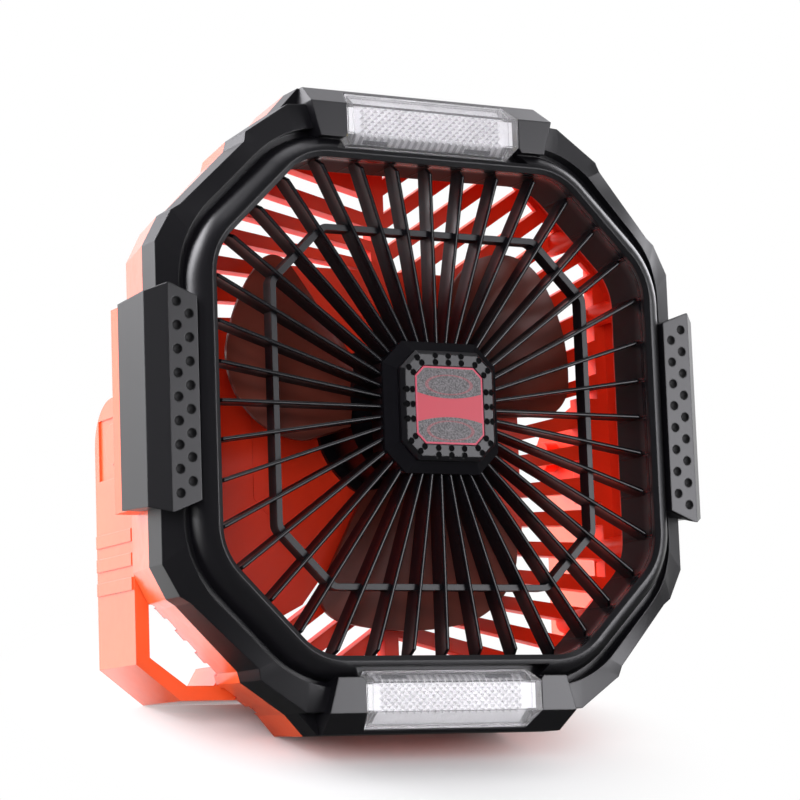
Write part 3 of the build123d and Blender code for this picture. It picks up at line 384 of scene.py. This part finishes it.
def clear_plastic(name, colour, roughness, transmission, grain_depth=0.00003, ior=1.5):
    """Clear plastic with a faint haze."""
    finish = Finish(name, Transmission_Weight=transmission, IOR=ior)
    haze = finish.noise(0.01, detail=3.0)
    finish.paint(finish.blend(finish.ramp(haze), shade(colour, 0.94), colour))
    finish.look(Roughness=finish.spread(haze, roughness - 0.03, roughness + 0.04))
    finish.rounded(0.0004)
    finish.relief(finish.noise(0.0012, detail=1.0), grain_depth, 0.3)
    return finish


def give(finish, *names):
    """Assigns a finish to CAD nodes' own material slots."""
    for name in names:
        data = frame["nodes"][name].data
        if not data.materials:
            data.materials.append(finish.material)
        for index in range(len(data.materials)):
            data.materials[index] = finish.material


# ---- mesh helpers -------------------------------------------------------------------------
def piece(name, bm, *finishes):
    """Turns a bmesh drawn upright in millimetres into a piece that rides on the head."""
    mesh = bpy.data.meshes.new(name)
    bm.to_mesh(mesh)
    bm.free()
    mesh.transform(LAY)
    for finish in finishes:
        mesh.materials.append(finish.material)
    thing = bpy.data.objects.new(name, mesh)
    bpy.context.scene.collection.objects.link(thing)
    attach(thing, "head")


def head_box(name):
    """Corners of a CAD node's box in the upright head frame, in millimetres."""
    points = [UPRIGHT @ vertex.co for vertex in frame["nodes"][name].data.vertices]
    return (Vector([min(p[i] for p in points) for i in range(3)]),
            Vector([max(p[i] for p in points) for i in range(3)]))


def mirrored(x, z):
    """A point of the upper right quarter and its mirror images, each once."""
    return [(sx * x, sz * z) for sx in ((1, -1) if x else (1,))
            for sz in ((1, -1) if z else (1,))]


def solid(outlines):
    """A closed solid through outlines that lie one behind the other."""
    bm = bmesh.new()
    rows = [[bm.verts.new(point) for point in outline] for outline in outlines]
    for front, back in zip(rows, rows[1:]):
        for i in range(len(front)):
            j = (i + 1) % len(front)
            bm.faces.new((front[i], front[j], back[j], back[i]))
    bm.faces.new(rows[0])
    bm.faces.new(rows[-1])
    bmesh.ops.recalc_face_normals(bm, faces=bm.faces)
    return bm


def sheet(bm, corners, material=0):
    """Adds one face with corners of its own."""
    face = bm.faces.new([bm.verts.new(corner) for corner in corners])
    face.material_index = material


def bar(bm, x, y, z, wide, tall):
    """Adds a thin flat bar."""
    place = Matrix.Translation((x, y, z)) @ Matrix.Diagonal((wide, BAR_DEPTH, tall, 1))
    bmesh.ops.create_cube(bm, size=1.0, matrix=place)


def islands(bm):
    """The separate groups of joined vertices, always in the same order."""
    seen = set()
    for first in bm.verts:
        if first in seen:
            continue
        seen.add(first)
        island = [first]
        for vert in island:
            for edge in vert.link_edges:
                other = edge.other_vert(vert)
                if other not in seen:
                    seen.add(other)
                    island.append(other)
        yield island


# ---- operators ----------------------------------------------------------------------------
class CAMPFAN_OT_case(bpy.types.Operator):
    """Finishes the front frame, the grille, the hub plate and the bumpers"""

    bl_idname = "campfan.case"
    bl_label = "Front case"

    def execute(self, context):
        self.front_frame()
        self.grille()
        self.collar()
        self.hub_plate()
        self.bumpers()
        return {"FINISHED"}

    def front_frame(self):
        """The sunk faces that look to the front are a little duller."""
        finish = moulded("case_black", colours().case, Specular_IOR_Level=0.75)
        _, y, _ = finish.upright()
        sunk = finish.product(finish.ramp(finish.facing(-BACK), *TO_FRONT),
                              finish.ramp(y, *SUNK_DEPTHS))
        finish.look(Roughness=finish.spread(sunk, 0.34, 0.42, 0.0, 1.0))
        give(finish, "front_frame")

    def grille(self):
        """Rounded spokes; what lies deep in the opening is duller."""
        finish = moulded("grille_black", colours().case, grain_depth=FINE, edge=SOFT)
        x, y, z = finish.upright()
        turn = finish.product(finish.calc("ARCTAN2", z, x), SPOKES / (2 * math.pi))
        off = finish.product(finish.calc("SUBTRACT", turn, finish.calc("ROUND", turn)),
                             2 * math.pi / SPOKES)
        across = finish.product(finish.radius(x, z), finish.calc("SINE", off))
        finish.relief(finish.dome(finish.product(across, across), SPOKE_R), MM)
        finish.look(Roughness=finish.spread(y, 0.26, 0.66, *SHADE_DEPTHS))
        give(finish, "front_grille")

    def collar(self):
        """Sloping octagonal collar from the hub plate down to the spokes."""
        outlines = []
        for hx, hz, cut, y in COLLAR:
            quarter = [(hx, hz - cut), (hx - cut, hz)]
            ring = (quarter + [(-a, b) for a, b in reversed(quarter)]
                    + [(-a, -b) for a, b in quarter] + [(a, -b) for a, b in reversed(quarter)])
            outlines.append([(a, y, b) for a, b in ring])
        piece("hub_collar", solid(outlines), moulded(
            "collar_black", colours().case, 0.5, FINE, SOFT, Specular_IOR_Level=0.10))

    def hub_plate(self):
        """Round dimples in two rows round the badge, with painted shade in them and a dark disc
        of painted shade just in front of each.
        """
        finish = moulded("hub_plate_black", colours().case, grain_depth=FINE,
                         Specular_IOR_Level=0.7)
        # Painted shade: a dark, nearly unreflecting disc lies just in front of each dimple.
        dull = moulded("dimple_black", shade(colours().case, 0.3), 0.6, FINE, SHARP,
                       Specular_IOR_Level=0.05)
        x, _, z = finish.upright()
        wide, tall = finish.calc("ABSOLUTE", x), finish.calc("ABSOLUTE", z)
        front = head_box("hub_plate")[0].y - DISC_LIFT
        shade_discs, squares = bmesh.new(), []
        for px, pz in DIMPLES:
            for dx, dz in mirrored(px, pz):
                place = Matrix.Translation((dx, front, dz)) @ Matrix.Rotation(math.pi / 2, 4, "X")
                bmesh.ops.create_circle(shade_discs, cap_ends=True, segments=14, radius=DISC_R,
                                        matrix=place)
            squares.append(finish.squares(finish.calc("SUBTRACT", wide, px),
                                          finish.calc("SUBTRACT", tall, pz)))
        finish.hollow(finish.chain("MINIMUM", *squares), DIMPLE_R, sizes().dimple)
        give(finish, "hub_plate")
        piece("hub_dimples", shade_discs, dull)

    def bumpers(self):
        """The round studs on the front of the rubber are hollow, and painted shade darkens them.
        """
        finish = moulded("bumper_rubber", colours().rubber, Specular_IOR_Level=0.75)
        x, y, _ = finish.upright()
        wide = finish.calc("ABSOLUTE", x)
        # Painted shade in the hollows of the studs.
        finish.paint_hollow_shade(finish.product(
            finish.ramp(y, *STUD_EDGE),
            finish.calc("GREATER_THAN", wide, STUD_BAND[0]),
            finish.calc("LESS_THAN", wide, STUD_BAND[1]),
            finish.calc("LESS_THAN", y, STUD_BOTTOM)), share=0.75)
        give(finish, "bumper_left", "bumper_right")


class CAMPFAN_OT_lights(bpy.types.Operator):
    """Finishes the lenses and what is behind them"""

    bl_idname = "campfan.lights"
    bl_label = "Light bars"

    def execute(self, context):
        give(clear_plastic("lens_clear", colours().lens, 0.05, 0.92, grain_depth=0.000005,
                           ior=1.28), "lens_top", "lens_bottom")
        # Three greys of one finish paint the prisms lit, in highlight and in shade: painted light
        # and shade.
        facets = [moulded("prism_" + name, grey(level), 0.3, 0.000001, SHARP)
                  for name, level in (("pale", 0.80), ("white", 0.99), ("grey", 0.46))]
        # Painted shade: a dark grey finish for the sheets that stand for the slots.
        slot = moulded("lens_slot_grey", (0.20, 0.20, 0.21), 0.4, FINE, 0.0002)
        for name, way in (("top", 1), ("bottom", -1)):
            half = head_box("lens_" + name)[1].x - LENS_END
            piece("prism_sheet_" + name, self.prisms(way, half), *facets)
            piece("lens_slots_" + name, self.slots(way), slot)
        give(moulded("reflector_white", (0.78, 0.78, 0.77), 0.35), "reflector_top",
             "reflector_bottom")
        give(moulded("board_white", (0.7, 0.7, 0.68), 0.4), "led_board_top",
             "led_board_bottom")
        give(moulded("led_phosphor", (0.80, 0.66, 0.25), 0.3), "led_chips_top",
             "led_chips_bottom")
        return {"FINISHED"}

    def prisms(self, way, half):
        """A sheet of four-sided prisms behind the flat front of a lens, with folded edges; facets
        and fold carry painted light and shade.
        """
        pitch, rise = sizes().prism_pitch / MM, sizes().prism_height / MM
        low, high = LENS_FLAT[0] + LENS_MARGIN, LENS_FLAT[1] - LENS_MARGIN
        y = PRISM_DEPTH
        bm = bmesh.new()
        columns, rows = int(2 * half / pitch * 2), int((high - low) / PRISM_TALL * 2)
        for i in range(columns + 1):
            for j in range(i % 2, rows + 1, 2):
                x, z = -half + i * pitch / 2, low + j * PRISM_TALL / 2
                ring = [bm.verts.new((x + dx, y, way * (z + dz))) for dx, dz in
                        ((-pitch / 2, 0), (0, -PRISM_TALL / 2), (pitch / 2, 0),
                         (0, PRISM_TALL / 2))]
                top = bm.verts.new((x, y - rise, way * z))
                # Two facets of each prism are painted pale, one white as a painted highlight and
                # one grey as painted shade.
                for k, facet in enumerate((0, 0, 1, 2)):
                    face = bm.faces.new((ring[k], ring[(k + 1) % 4], top))
                    face.material_index = facet
        bmesh.ops.remove_doubles(bm, verts=bm.verts, dist=0.01)
        end = half + BACK_OVERHANG
        sheet(bm, [(x, y + BACK_GAP, way * z)
                   for x, z in ((-end, low), (end, low), (end, high), (-end, high))])
        start, length = -half - FOLD_OVERHANG, 2 * (half + FOLD_OVERHANG)
        ribs = int(length / pitch * 2)
        # The fold nearer the middle of the head is flat, painted in grey and pale strips as
        # painted ribs of shade and light.
        for number, (z0, (y1, z1)) in enumerate(zip((low, high), PRISM_FOLDS)):
            for i in range(ribs):
                x0, x1 = (start + length * (i + k) / ribs for k in (0, 1))
                sheet(bm, [(x0, y, way * z0), (x1, y, way * z0), (x1, y1, way * z1),
                           (x0, y1, way * z1)], 2 if number == 0 and i % 2 else 0)
        bmesh.ops.recalc_face_normals(bm, faces=bm.faces)
        behind = [face for face in bm.faces if face.normal.y > 0]
        bmesh.ops.reverse_faces(bm, faces=behind)
        return bm

    def slots(self, way):
        """Two dark sheets behind the inner facet of a lens: painted shade of two slots."""
        bm = bmesh.new()
        (y0, z0), (y1, z1) = SLOT_EDGES
        for x0, x1 in SLOT_SPANS:
            sheet(bm, [(x0, y0, way * z0), (x1, y0, way * z0), (x1, y1, way * z1),
                       (x0, y1, way * z1)])
        return bm


class CAMPFAN_OT_badge(bpy.types.Operator):
    """Finishes the badge on the hub"""

    bl_idname = "campfan.badge"
    bl_label = "Hub badge"

    def execute(self, context):
        finish = Finish("badge_print", Roughness=0.34)
        x, _, z = finish.upright()
        wide, tall = finish.calc("ABSOLUTE", x), finish.calc("ABSOLUTE", z)
        middle = finish.calc("ABSOLUTE", finish.calc("ADD", z, BAND_LOW))
        field = self.field(finish, wide, middle)
        bulge = finish.product(x, x, BAND_BULGE)
        band = finish.calc("LESS_THAN", middle, finish.calc("ADD", bulge, BAND_HALF))
        inner = finish.blend(band, field, colours().badge)
        border = finish.calc("LESS_THAN", self.inset(finish, wide, tall),
                             sizes().badge_border / MM)
        finish.paint(finish.blend(border, inner, colours().badge_edge))
        finish.rounded(SOFT)
        give(finish, "hub_insert")
        return {"FINISHED"}

    def inset(self, finish, wide, tall):
        """Distance inside the badge's octagonal edge."""
        half_wide, half_tall, cut = BADGE
        corner = finish.product(finish.calc(
            "SUBTRACT", half_wide + half_tall - cut, finish.calc("ADD", wide, tall)), DIAGONAL)
        return finish.chain("MINIMUM", finish.calc("SUBTRACT", half_wide, wide),
                            finish.calc("SUBTRACT", half_tall, tall), corner)

    def field(self, finish, wide, middle):
        """A speckled field with a faint oval line."""
        speck = finish.ramp(finish.noise(SPECK, detail=3.0, roughness=0.8), *SPECK_FADE)
        plain_field = finish.blend(speck, colours().badge_field, colours().badge_speck)
        across = finish.calc("DIVIDE", wide, OVAL_HALF[0])
        up = finish.calc("DIVIDE", finish.calc("SUBTRACT", middle, OVAL_UP), OVAL_HALF[1])
        line = finish.near(finish.radius(across, up), 1.0, OVAL_LINE)
        return finish.blend(finish.product(line, 0.3), plain_field, colours().badge)


class CAMPFAN_OT_shell(bpy.types.Operator):
    """Finishes the rear shell and the stand"""

    bl_idname = "campfan.shell"
    bl_label = "Rear shell and stand"

    def execute(self, context):
        shell = self.shell()
        give(shell, "rear_shell")
        piece("vent_blank", solid([[(x, y, z) for x, z in BLANK] for y in BLANK_DEPTHS]),
              shell)
        give(moulded("stand_orange", colours().shell, 0.36, FINE, Specular_IOR_Level=0.7,
                     Coat_Weight=1.0, Coat_Roughness=0.2, Coat_IOR=2.0),
             "stand", "pivot_caps")
        give(moulded("washer_nylon", (0.7, 0.7, 0.68), 0.4), "pivot_washers")
        give(moulded("hook_black", colours().case, 0.4), "hook")
        return {"FINISHED"}

    def shell(self):
        """Glossy on the outer sides; inside, painted shade makes it deeper in colour."""
        finish = moulded("shell_orange", colours().shell, 0.36, FINE, Coat_Roughness=0.2,
                         Coat_IOR=2.2, Specular_IOR_Level=0.2)
        away = finish.vector("SUBTRACT", finish.where, SHELL_MIDDLE)["Vector"]
        outward = finish.facing(away)
        finish.look(Coat_Weight=finish.ramp(outward, *SHELL_SIDES))
        # Painted shade: faces that look inward get the deeper inside colour.
        outside = finish.ramp(outward, *SHELL_OUTSIDE)
        finish.paint(finish.blend(outside, colours().shell_inside_shade, finish.tint))
        return finish


class CAMPFAN_OT_rotor(bpy.types.Operator):
    """Finishes the rotor and the motor"""

    bl_idname = "campfan.rotor"
    bl_label = "Rotor and motor"

    def execute(self, context):
        give(self.blades(), "fan_rotor")
        give(moulded("spinner_black", (0.012, 0.012, 0.013), 0.2), "rotor_spinner")
        give(moulded("mount_black", colours().case, 0.4), "motor_mount", "battery_holder")
        give(moulded("magnet_ferrite", (0.03, 0.03, 0.032), 0.6), "rotor_magnets")
        give(metal("steel", (0.5, 0.5, 0.51), 0.32), "rotor_shaft", "stator_core", "hook_pin")
        give(metal("bronze", (0.4, 0.22, 0.1), 0.4), "motor_bearing")
        give(metal("copper", (0.65, 0.25, 0.1), 0.3), "stator_windings")
        return {"FINISHED"}

    def blades(self):
        """Smoky translucent blades round a black cup."""
        clear = 0.35
        finish = Finish("blade_smoke", Roughness=0.32, IOR=1.45, Transmission_Weight=clear)
        x, _, z = finish.upright()
        cup = finish.calc("LESS_THAN", finish.radius(x, z), CUP_R)
        haze = finish.ramp(finish.noise(0.02, detail=3.0))
        smoke = finish.blend(haze, shade(colours().blades, 0.85), colours().blades)
        finish.paint(finish.blend(cup, smoke, colours().case))
        finish.look(Transmission_Weight=finish.product(
            finish.calc("SUBTRACT", 1.0, cup), clear))
        finish.rounded(SOFT)
        return finish


class CAMPFAN_OT_controls(bpy.types.Operator):
    """Finishes the rear cover, the buttons, the ports and what is behind them"""

    bl_idname = "campfan.controls"
    bl_label = "Controls"

    def execute(self, context):
        give(moulded("cover_black", colours().case, 0.38), "rear_cover")
        for name, glyph in (("fan_button", self.fan_glyph), ("light_button", self.light_glyph)):
            give(self.button(name, glyph), name)
        self.screw_crosses()
        self.port_mouths()
        give(metal("port_steel", (0.55, 0.55, 0.56), 0.3), "charge_port", "output_port")
        give(clear_plastic("lamp_blue", (0.4, 0.6, 0.85), 0.1, 0.8), "charge_lamps")
        give(moulded("board_green", (0.01, 0.08, 0.03), 0.35), "control_board")
        give(moulded("cell_sleeve", (0.03, 0.12, 0.35), 0.25), "battery_cells")
        give(metal("screw_zinc", (0.30, 0.30, 0.31), 0.35), "case_screws", "cover_screws",
             "pivot_screws")
        return {"FINISHED"}

    def button(self, name, glyph):
        """A grey button with a painted dark ring standing for the shade of a shallow ring, and a
        plain mark.
        """
        lowest, highest = head_box(name)
        middle = (lowest + highest) / 2
        finish = moulded(name + "_grey", (0.07, 0.07, 0.075), 0.42)
        x, _, z = finish.upright()
        x = finish.calc("SUBTRACT", x, middle.x)
        z = finish.calc("SUBTRACT", z, middle.z)
        radius = finish.radius(x, z)
        # Painted shade: a thin near-black ring on the flat face.
        ring = finish.near(radius, BUTTON_RING, BUTTON_RING_HALF)
        finish.paint(finish.blend(ring, finish.tint, grey(0.01)))
        mark = glyph(finish, radius, finish.calc("ARCTAN2", z, x))
        finish.paint(finish.blend(mark, finish.tint, grey(0.75)))
        return finish

    def fan_glyph(self, finish, radius, angle):
        """Three rounded blades."""
        lobes = finish.calc("ABSOLUTE", finish.calc("COSINE", finish.product(angle, 1.5)))
        return finish.calc("LESS_THAN", radius, finish.product(lobes, LOBE_R))

    def light_glyph(self, finish, radius, angle):
        """A disc with eight beams."""
        bulb = finish.calc("LESS_THAN", radius, BULB_R)
        spokes = finish.calc("GREATER_THAN", finish.calc(
            "COSINE", finish.product(angle, 8.0)), 0.55)
        beams = finish.product(spokes, finish.near(radius, BEAM_R, BEAM_HALF))
        return finish.calc("MAXIMUM", bulb, beams)

    def screw_crosses(self):
        """A dark cross of painted shade laid on the head of each screw seen from behind, standing
        for its cross recess.
        """
        dark = moulded("recess_black", grey(0.004), 0.6, FINE, SHARP)
        for name in ("case_screws", "cover_screws"):
            screws, bm = bmesh.new(), bmesh.new()
            screws.from_mesh(frame["nodes"][name].data)
            bmesh.ops.transform(screws, matrix=UPRIGHT, verts=screws.verts)
            for screw in islands(screws):
                end = max(vert.co.y for vert in screw)
                top = [vert.co for vert in screw if vert.co.y > end - SCREW_END]
                x, z = (sum(co[i] for co in top) / len(top) for i in (0, 2))
                bar(bm, x, end + RAISED, z, CROSS_LONG, CROSS_WIDE)
                bar(bm, x, end + RAISED, z, CROSS_WIDE, CROSS_LONG)
            screws.free()
            piece(name + "_recess", bm, dark)

    def port_mouths(self):
        """A dark sheet of painted shade over the mouth of each port, with a tongue in it."""
        dark = moulded("mouth_black", grey(0.004), 0.6, FINE, SHARP)
        tongue = moulded("tongue_grey", grey(0.12), 0.4, FINE, SHARP)
        mouths, tongues = bmesh.new(), bmesh.new()
        for name in ("charge_port", "output_port"):
            lowest, highest = head_box(name)
            x, z = (lowest.x + highest.x) / 2, (lowest.z + highest.z) / 2
            wide, tall = highest.x - lowest.x, highest.z - lowest.z
            bar(mouths, x, highest.y + RAISED, z, wide - PORT_RIM, tall - PORT_RIM)
            bar(tongues, x, highest.y + RAISED_MORE, z, wide - TONGUE_RIM, TONGUE_TALL)
        piece("port_mouths", mouths, dark)
        piece("port_tongues", tongues, tongue)


class CAMPFAN_OT_studio(bpy.types.Operator):
    """Makes the floor, the lights and the camera"""

    bl_idname = "campfan.studio"
    bl_label = "Studio"

    def execute(self, context):
        scene, setup = context.scene, studio()
        self.floor(scene, setup)
        self.world(scene, setup)
        lamps = {name: self.lamp(scene, name + "_light", getattr(setup, name), size, place)
                 for name, size, place in LAMPS}
        lamps["front"].visible_diffuse = False
        lamps["fill"].visible_glossy = False
        self.camera(scene, setup)
        scene.view_settings.view_transform = "Standard"
        return {"FINISHED"}

    def floor(self, scene, setup):
        """A floor that fades to white; in reflections it is bright behind the fan only."""
        bm = bmesh.new()
        bmesh.ops.create_grid(bm, x_segments=2, y_segments=2, size=FLOOR_SIZE)
        mesh = bpy.data.meshes.new("floor")
        bm.to_mesh(mesh)
        bm.free()
        floor = bpy.data.objects.new("floor", mesh)
        scene.collection.objects.link(floor)
        finish = Finish("floor_pale", Roughness=0.9, Specular_IOR_Level=0.1)
        speck = finish.ramp(finish.noise(0.4))
        finish.paint(finish.blend(speck, setup.floor, shade(setup.floor, 1.01)))
        far = finish.vector("LENGTH", finish.where)["Value"]
        fade = finish.ramp(far, *FLOOR_FADE, shape="SMOOTHSTEP")
        path = finish.add("LightPath").outputs
        seen = finish.calc("MAXIMUM", path["Is Camera Ray"], path["Is Transmission Ray"])
        amount = finish.calc("MAXIMUM", finish.product(seen, fade), path["Is Glossy Ray"])
        behind = finish.spread(finish.parts(finish.where)["Y"], setup.dark, 1.0, *FLOOR_GLOSS)
        white = finish.add("Emission", Color=WHITE,
                           Strength=finish.calc("MAXIMUM", behind, seen))
        finish.set(finish.nodes["Material Output"], "Surface",
                   finish.cover(amount, finish.shader.outputs[0], white.outputs[0]))
        mesh.materials.append(finish.material)

    def world(self, scene, setup):
        """White for the camera; in reflections bright behind the fan and dark in front."""
        scene.world = bpy.data.worlds.new("studio_surroundings")
        scene.world.use_nodes = True
        graph = Graph(scene.world.node_tree)
        graph.nodes.clear()
        direction = graph.parts(graph.add("TexCoord").outputs["Generated"])
        behind = graph.spread(direction["Y"], setup.dark, 1.0, *SKY_GLOSS)
        path = graph.add("LightPath").outputs
        seen = graph.calc("MAXIMUM", path["Is Camera Ray"], path["Is Transmission Ray"])
        result = graph.add("Background", Color=WHITE, Strength=setup.sky).outputs[0]
        for amount, tint, strength in ((path["Is Glossy Ray"], COOL, behind),
                                       (seen, WHITE, 1.0)):
            layer = graph.add("Background", Color=tint, Strength=strength).outputs[0]
            result = graph.cover(amount, result, layer)
        graph.add("OutputWorld", Surface=result)

    def lamp(self, scene, name, power, size, place):
        data = bpy.data.lights.new(name, "AREA")
        data.shape = "SQUARE"
        data.size = size
        data.energy = power
        data.color = COOL
        lamp = bpy.data.objects.new(name, data)
        scene.collection.objects.link(lamp)
        turn = (TARGET - Vector(place)).to_track_quat("-Z", "Y").to_matrix().to_4x4()
        lamp.matrix_world = Matrix.Translation(place) @ turn
        return lamp

    def camera(self, scene, setup):
        data = bpy.data.cameras.new("camera")
        data.lens = setup.focal
        data.sensor_width = SENSOR
        camera = bpy.data.objects.new("camera", data)
        scene.collection.objects.link(camera)
        camera.location = CAMERA_PLACE
        camera.rotation_euler = CAMERA_TURN
        scene.camera = camera


class CAMPFAN_PT_panel(bpy.types.Panel):
    """Lists the fan's pieces and its sizes and colours"""

    bl_idname = "CAMPFAN_PT_panel"
    bl_label = "Camping fan"
    bl_space_type = "VIEW_3D"
    bl_region_type = "UI"
    bl_category = "Camping fan"

    def draw(self, context):
        layout = self.layout
        for group in GROUPS:
            values = getattr(context.scene, group)
            box = layout.box()
            for name in values.bl_rna.properties.keys():
                if name not in ("rna_type", "name"):
                    box.prop(values, name)
        for operator in OPERATORS:
            layout.operator(operator.bl_idname)


GROUPS = {"camping_fan_colours": CampingFanColours, "camping_fan_sizes": CampingFanSizes,
          "camping_fan_studio": CampingFanStudio}
OPERATORS = (CAMPFAN_OT_case, CAMPFAN_OT_lights, CAMPFAN_OT_badge, CAMPFAN_OT_shell,
             CAMPFAN_OT_rotor, CAMPFAN_OT_controls, CAMPFAN_OT_studio)
CLASSES = (*GROUPS.values(), *OPERATORS, CAMPFAN_PT_panel)


def register():
    for cls in CLASSES:
        bpy.utils.register_class(cls)
    for name, group in GROUPS.items():
        setattr(bpy.types.Scene, name, PointerProperty(type=group))


def unregister():
    for name in GROUPS:
        delattr(bpy.types.Scene, name)
    for cls in reversed(CLASSES):
        bpy.utils.unregister_class(cls)


def main():
    register()
    bpy.ops.campfan.case()
    bpy.ops.campfan.lights()
    bpy.ops.campfan.badge()
    bpy.ops.campfan.shell()
    bpy.ops.campfan.rotor()
    bpy.ops.campfan.controls()
    bpy.ops.campfan.studio()


if __name__ == "__main__":
    main()
